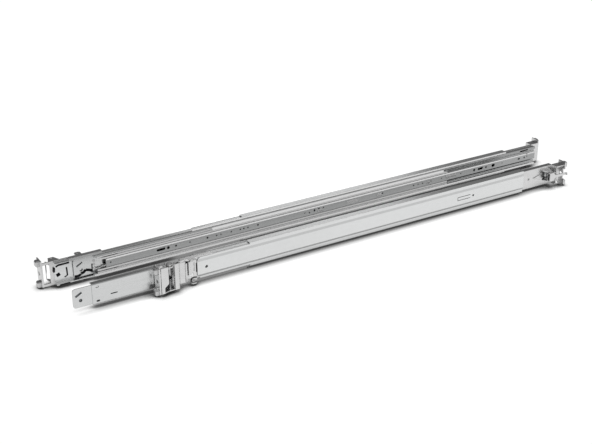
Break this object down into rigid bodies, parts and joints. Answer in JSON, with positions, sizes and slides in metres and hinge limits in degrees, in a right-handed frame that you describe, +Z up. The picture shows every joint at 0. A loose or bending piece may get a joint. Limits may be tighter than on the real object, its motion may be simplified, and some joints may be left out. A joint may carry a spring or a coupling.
{
  "type": "pair of rack mounting rails",
  "caption": "Mirrored pair of telescoping ball-bearing rack rails with sprung post latches and a rear end that draws out to suit the rack's depth.",
  "frame": {"origin": "middle of the whole pair's footprint, on the surface the flanges stand on", "axes": "+X along the rails to the front of the rack, +Z up, the left rail at -Y"},
  "size_m": [0.905, 0.1232, 0.0442],
  "materials": {
    "galvanised_sleeve": "bright zinc plate, fine rolling grain",
    "zinc_member": "bright zinc plate, drawn along the rail",
    "zinc_bracket": "bright zinc plate, pressed",
    "steel_pegs": "bright zinc plate, turned and milled",
    "ball_cage": "thin rolled strip",
    "bearing_balls": "polished bearing steel",
    "spring_steel": "tempered spring steel, satin",
    "rivet_steel": "bright zinc plate"
  },
  "bodies": {
    "fixed_rails": {"left_sleeve": "galvanised_sleeve", "left_cabinet_member": "zinc_member", "left_slide_spacers": "rivet_steel", "left_tail_plate": "zinc_member", "left_tail_rivets": "rivet_steel", "left_front_bracket": "zinc_bracket", "left_front_rivets": "rivet_steel", "left_front_pegs": "steel_pegs", "left_front_latch_pin": "rivet_steel", "left_front_latch_spring": "spring_steel", "right_sleeve": "galvanised_sleeve", "right_cabinet_member": "zinc_member", "right_slide_spacers": "rivet_steel", "right_tail_plate": "zinc_member", "right_tail_rivets": "rivet_steel", "right_front_bracket": "zinc_bracket", "right_front_rivets": "rivet_steel", "right_front_pegs": "steel_pegs", "right_front_latch_pin": "rivet_steel", "right_front_latch_spring": "spring_steel"},
    "left_rear_extension": {"left_extension_channel": "galvanised_sleeve", "left_rear_bracket": "zinc_bracket", "left_rear_pegs": "steel_pegs", "left_rear_latch_pin": "rivet_steel", "left_rear_latch_spring": "spring_steel"},
    "left_rear_latch": {"left_rear_latch": "zinc_bracket"},
    "left_front_latch": {"left_front_latch": "zinc_bracket"},
    "left_middle_slide": {"left_middle_member": "zinc_member", "left_lock_lever_rivet": "rivet_steel"},
    "left_lock_lever": {"left_lock_lever": "spring_steel"},
    "left_inner_slide": {"left_inner_member": "zinc_member", "left_release_tab_rivet": "rivet_steel"},
    "left_release_tab": {"left_release_tab": "spring_steel"},
    "left_outer_cage": {"left_outer_cage": "ball_cage", "left_outer_balls": "bearing_balls"},
    "left_inner_cage": {"left_inner_cage": "ball_cage", "left_inner_balls": "bearing_balls"},
    "right_rear_extension": {"right_extension_channel": "galvanised_sleeve", "right_rear_bracket": "zinc_bracket", "right_rear_pegs": "steel_pegs", "right_rear_latch_pin": "rivet_steel", "right_rear_latch_spring": "spring_steel"},
    "right_rear_latch": {"right_rear_latch": "zinc_bracket"},
    "right_front_latch": {"right_front_latch": "zinc_bracket"},
    "right_middle_slide": {"right_middle_member": "zinc_member", "right_lock_lever_rivet": "rivet_steel"},
    "right_lock_lever": {"right_lock_lever": "spring_steel"},
    "right_inner_slide": {"right_inner_member": "zinc_member", "right_release_tab_rivet": "rivet_steel"},
    "right_release_tab": {"right_release_tab": "spring_steel"},
    "right_outer_cage": {"right_outer_cage": "ball_cage", "right_outer_balls": "bearing_balls"},
    "right_inner_cage": {"right_inner_cage": "ball_cage", "right_inner_balls": "bearing_balls"}
  },
  "joints": [
    {"name": "left_rear_extension_slide", "type": "slide", "parent": "fixed_rails", "child": "left_rear_extension", "axis": [1, 0, 0], "range_m": [-0.188, 0]},
    {"name": "left_middle_slide", "type": "slide", "parent": "fixed_rails", "child": "left_middle_slide", "axis": [1, 0, 0], "range_m": [0, 0.375]},
    {"name": "left_outer_cage_roll", "type": "slide", "parent": "fixed_rails", "child": "left_outer_cage", "axis": [1, 0, 0], "range_m": [0, 0.1875]},
    {"name": "left_inner_slide", "type": "slide", "parent": "left_middle_slide", "child": "left_inner_slide", "axis": [1, 0, 0], "range_m": [0, 0.39]},
    {"name": "left_inner_cage_roll", "type": "slide", "parent": "left_middle_slide", "child": "left_inner_cage", "axis": [1, 0, 0], "range_m": [0, 0.195]},
    {"name": "left_rear_latch_hinge", "type": "hinge", "parent": "left_rear_extension", "child": "left_rear_latch", "pos_m": [-0.3019, -0.0522, 0.021], "axis": [0, 0, 1], "range_deg": [0, 12], "stiffness_Nm_per_rad": 0.05},
    {"name": "left_front_latch_hinge", "type": "hinge", "parent": "fixed_rails", "child": "left_front_latch", "pos_m": [0.386, -0.0482, 0.021], "axis": [0, 0, -1], "range_deg": [0, 10], "stiffness_Nm_per_rad": 0.05},
    {"name": "left_lock_lever_hinge", "type": "hinge", "parent": "left_middle_slide", "child": "left_lock_lever", "pos_m": [0.32, -0.0386, 0.021], "axis": [0, 1, 0], "range_deg": [-4, 4], "stiffness_Nm_per_rad": 0.02},
    {"name": "left_release_tab_hinge", "type": "hinge", "parent": "left_inner_slide", "child": "left_release_tab", "pos_m": [0.353, -0.0356, 0.021], "axis": [0, 1, 0], "range_deg": [-5, 5], "stiffness_Nm_per_rad": 0.02},
    {"name": "right_rear_extension_slide", "type": "slide", "parent": "fixed_rails", "child": "right_rear_extension", "axis": [1, 0, 0], "range_m": [-0.028, 0.16]},
    {"name": "right_middle_slide", "type": "slide", "parent": "fixed_rails", "child": "right_middle_slide", "axis": [1, 0, 0], "range_m": [0, 0.375]},
    {"name": "right_outer_cage_roll", "type": "slide", "parent": "fixed_rails", "child": "right_outer_cage", "axis": [1, 0, 0], "range_m": [0, 0.1875]},
    {"name": "right_inner_slide", "type": "slide", "parent": "right_middle_slide", "child": "right_inner_slide", "axis": [1, 0, 0], "range_m": [0, 0.39]},
    {"name": "right_inner_cage_roll", "type": "slide", "parent": "right_middle_slide", "child": "right_inner_cage", "axis": [1, 0, 0], "range_m": [0, 0.195]},
    {"name": "right_rear_latch_hinge", "type": "hinge", "parent": "right_rear_extension", "child": "right_rear_latch", "pos_m": [-0.4289, 0.0522, 0.021], "axis": [0, 0, -1], "range_deg": [0, 12], "stiffness_Nm_per_rad": 0.05},
    {"name": "right_front_latch_hinge", "type": "hinge", "parent": "fixed_rails", "child": "right_front_latch", "pos_m": [0.419, 0.0482, 0.021], "axis": [0, 0, 1], "range_deg": [0, 10], "stiffness_Nm_per_rad": 0.05},
    {"name": "right_lock_lever_hinge", "type": "hinge", "parent": "right_middle_slide", "child": "right_lock_lever", "pos_m": [0.353, 0.0386, 0.021], "axis": [0, 1, 0], "range_deg": [-4, 4], "stiffness_Nm_per_rad": 0.02},
    {"name": "right_release_tab_hinge", "type": "hinge", "parent": "right_inner_slide", "child": "right_release_tab", "pos_m": [0.386, 0.0356, 0.021], "axis": [0, 1, 0], "range_deg": [-5, 5], "stiffness_Nm_per_rad": 0.02}
  ],
  "couplings": [
    {"joint": "left_outer_cage_roll", "follows": "left_middle_slide", "ratio": 0.5},
    {"joint": "left_inner_cage_roll", "follows": "left_inner_slide", "ratio": 0.5},
    {"joint": "right_outer_cage_roll", "follows": "right_middle_slide", "ratio": 0.5},
    {"joint": "right_inner_cage_roll", "follows": "right_inner_slide", "ratio": 0.5}
  ]
}
